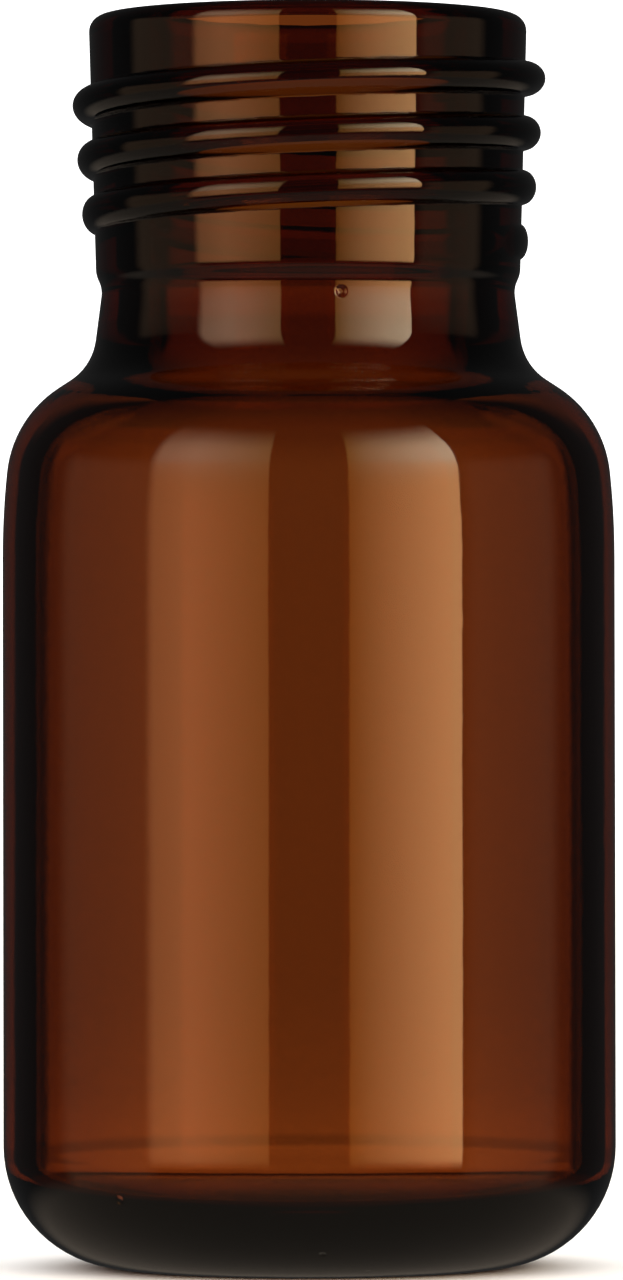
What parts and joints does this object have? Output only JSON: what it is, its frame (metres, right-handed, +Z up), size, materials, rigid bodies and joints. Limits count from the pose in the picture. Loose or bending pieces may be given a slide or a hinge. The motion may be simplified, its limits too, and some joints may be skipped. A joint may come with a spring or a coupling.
{
  "type": "glass sample vial",
  "caption": "Small screw-neck sample vial in amber glass, with a round heel, a flared shoulder and a helical cap thread.",
  "frame": {"origin": "centre of the base, in the plane of the standing ring", "axes": "+Z up along the vial's axis, from the base to the rim; -Y towards the viewer, +X to the viewer's right"},
  "size_m": [0.0226, 0.0226, 0.046],
  "materials": {
    "amber_glass": "fire-polished amber glass, smooth and glossy"
  },
  "bodies": {
    "root": {"vial": "amber_glass"}
  },
  "joints": []
}
